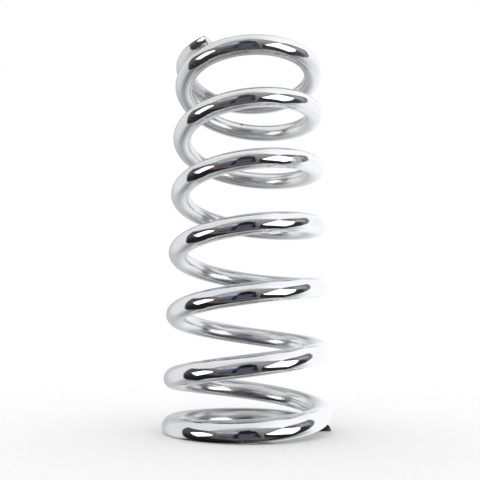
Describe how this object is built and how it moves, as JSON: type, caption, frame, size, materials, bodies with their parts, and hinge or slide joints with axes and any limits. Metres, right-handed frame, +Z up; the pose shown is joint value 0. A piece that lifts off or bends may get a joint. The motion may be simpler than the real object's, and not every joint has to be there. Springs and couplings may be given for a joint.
{
  "type": "coilover spring",
  "caption": "Straight chrome-plated helical compression spring of round wire, with closed ends ground flat to seat around a damper body.",
  "frame": {"origin": "on the coil axis, in the plane of the lower ground end", "axes": "+Z up the coil axis from the lower ground end to the upper one; +X from the axis towards the cut tip of the lower end turn"},
  "size_m": [0.085, 0.085, 0.2],
  "materials": {
    "chrome_plate": "bright chrome plate, mirror smooth on the round wire"
  },
  "bodies": {
    "root": {"coil_spring": "chrome_plate"}
  },
  "joints": []
}
